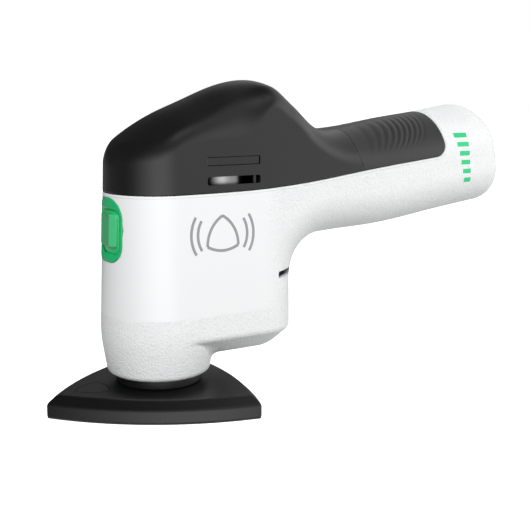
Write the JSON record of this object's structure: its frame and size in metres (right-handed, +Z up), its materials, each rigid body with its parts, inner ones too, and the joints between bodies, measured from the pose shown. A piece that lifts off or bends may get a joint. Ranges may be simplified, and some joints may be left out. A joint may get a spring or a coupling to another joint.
{
  "type": "cordless detail sander",
  "caption": "Cordless delta detail sander with a bowed three-cornered platen, a tall round-nosed head, a palm hump and a tilted ribbed handle.",
  "frame": {"origin": "on the spindle axis, in the plane of the sanding face", "axes": "+X runs back from the nose to the handle, +Z is up out of the sanding face, +Y is the right-hand side of the tool seen from behind it"},
  "size_m": [0.2445, 0.093, 0.1442],
  "materials": {
    "white_shell": "injection-moulded white plastic, satin, partly spark-textured",
    "black_shell": "fine satin black plastic",
    "black_grip": "soft matt black overmould",
    "green_elastomer": "translucent satin green elastomer",
    "grey_plastic": "plain moulded",
    "steel": "turned or pressed, light machining marks",
    "cast_zinc": "as cast",
    "bronze": "sintered",
    "copper": "enamelled copper",
    "magnet": "dull",
    "fan_plastic": "plain moulded",
    "cell_wrap": "heat-shrink sleeve",
    "board": "solder mask",
    "black_nylon": "glass-filled nylon, lightly textured",
    "foam": "closed-cell foam",
    "hook_fabric": "hook tape",
    "red_wire": "insulation",
    "black_wire": "insulation"
  },
  "bodies": {
    "housing": {"lower_housing": "white_shell", "head_cover": "black_shell", "handle_grip": "black_grip", "switch_bezel": "green_elastomer", "switch_body": "grey_plastic", "switch_pin": "steel", "motor_can": "steel", "motor_magnet_1": "magnet", "motor_magnet_2": "magnet", "motor_end_cap": "grey_plastic", "upper_motor_bush": "bronze", "lower_motor_bush": "bronze", "motor_brush_1": "magnet", "motor_brush_2": "magnet", "motor_screw_1": "steel", "motor_screw_2": "steel", "drive_frame": "cast_zinc", "lower_spindle_bearing": "steel", "upper_spindle_bearing": "steel", "front_cell_bracket": "grey_plastic", "rear_cell_bracket": "grey_plastic", "front_cell_strap": "steel", "rear_cell_strap": "steel", "circuit_board": "board", "board_capacitor": "black_shell", "board_chip": "black_shell", "charge_jack": "black_shell", "battery_lead": "red_wire", "motor_lead": "black_wire", "frame_screw_1": "steel", "frame_screw_2": "steel", "frame_screw_3": "steel", "frame_screw_4": "steel", "grip_screw_1": "steel", "grip_screw_2": "steel", "battery_cell_1": "cell_wrap", "battery_cell_2": "cell_wrap", "battery_cell_3": "cell_wrap"},
    "rocker": {"switch_rocker": "green_elastomer"},
    "rotor": {"motor_shaft": "steel", "armature_core": "magnet", "lower_coil": "copper", "upper_coil": "copper", "commutator": "copper", "cooling_fan": "fan_plastic", "counterweight": "bronze", "eccentric": "steel", "eccentric_bearing": "steel"},
    "spindle": {"spindle": "steel", "fork_lever": "steel", "platen_plate": "black_nylon", "platen_core": "steel", "foam_pad": "foam", "hook_pad": "hook_fabric", "dust_collar": "black_grip", "platen_screw_1": "steel", "platen_screw_2": "steel", "platen_screw_3": "steel"}
  },
  "joints": [
    {"name": "rotor_spin", "type": "hinge", "parent": "housing", "child": "rotor", "pos_m": [0.028, 0, 0.08], "axis": [0, 0, 1], "continuous": true},
    {"name": "platen_oscillation", "type": "hinge", "parent": "housing", "child": "spindle", "pos_m": [0, 0, 0.03], "axis": [0, 0, 1], "range_deg": [-1.6, 1.6]},
    {"name": "switch_rock", "type": "hinge", "parent": "housing", "child": "rocker", "pos_m": [-0.017, 0, 0.08], "axis": [0, 1, 0], "range_deg": [0, 4]}
  ]
}
